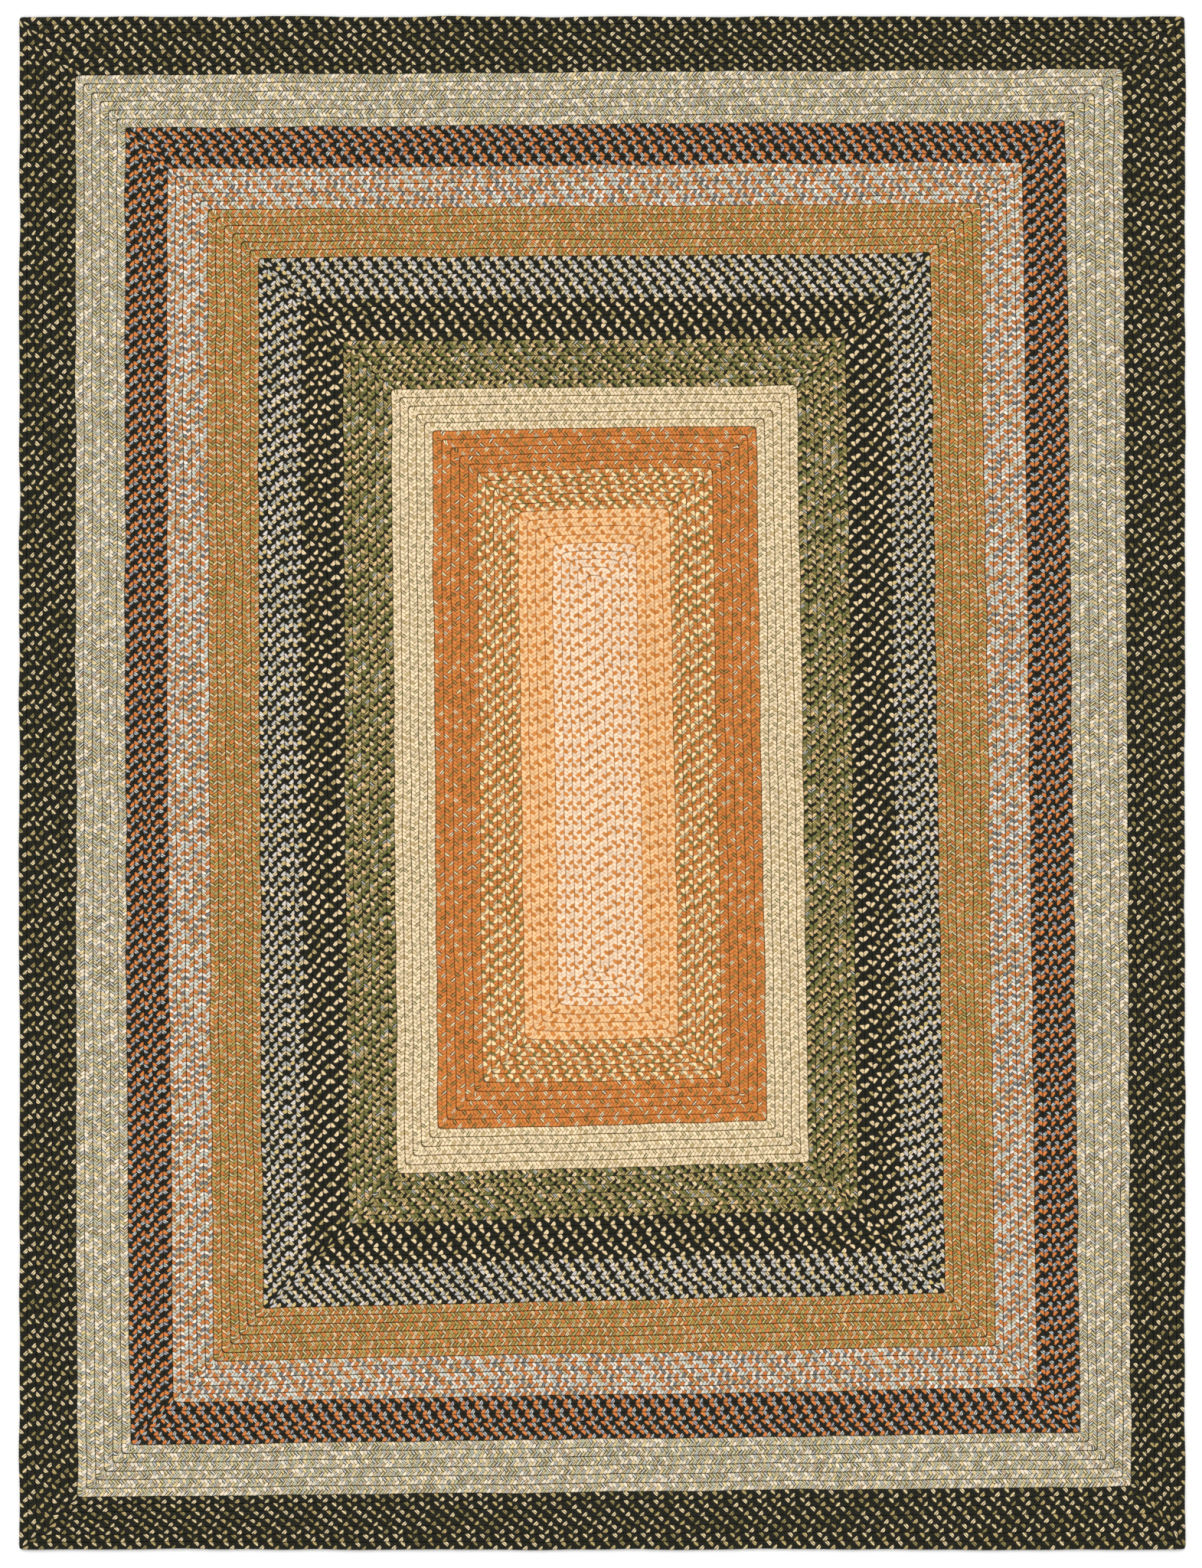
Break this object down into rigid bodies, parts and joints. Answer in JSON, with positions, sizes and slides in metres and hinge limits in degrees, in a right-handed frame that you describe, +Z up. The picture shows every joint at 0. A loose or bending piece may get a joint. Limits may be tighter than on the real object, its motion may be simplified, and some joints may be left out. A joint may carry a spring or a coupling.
{
  "type": "braided rug",
  "caption": "Large rectangular braided rug that lies flat: rounds of thick braid sewn edge to edge from a centre seam outwards, in bands of colour with a dark border.",
  "frame": {"origin": "on the floor under the middle of the rug's outline", "axes": "+Z up out of the rug's upper face, +Y along the rug's length to the back, +X to the right"},
  "size_m": [2.742, 3.606, 0.012],
  "materials": {
    "dark_border_braid": "matt near-black green braid with small cream and olive flecks",
    "pale_heather_braid": "matt pale grey, cream and sage heather braid",
    "black_orange_braid": "matt black, orange and grey braid",
    "orange_white_braid": "matt white and grey heather braid with orange flecks",
    "gold_braid": "matt gold braid of orange, olive and cream strands",
    "black_cream_braid": "matt black and cream checked braid",
    "spotted_black_braid": "matt black braid with bright cream spots",
    "green_tan_braid": "matt olive green, tan and black braid",
    "cream_braid": "matt cream braid with thin olive lines",
    "orange_braid": "matt burnt orange braid with olive and cream flecks",
    "orange_cream_braid": "matt orange, cream and olive braid",
    "peach_braid": "matt peach braid with orange spots",
    "cream_centre_braid": "matt cream white braid with orange spots"
  },
  "bodies": {
    "root": {"dark_border_braid": "dark_border_braid", "pale_heather_braid": "pale_heather_braid", "black_orange_braid": "black_orange_braid", "orange_white_braid": "orange_white_braid", "gold_braid": "gold_braid", "black_cream_braid": "black_cream_braid", "spotted_black_braid": "spotted_black_braid", "green_tan_braid": "green_tan_braid", "cream_braid": "cream_braid", "orange_braid": "orange_braid", "orange_cream_braid": "orange_cream_braid", "peach_braid": "peach_braid", "cream_centre_braid": "cream_centre_braid"}
  },
  "joints": []
}
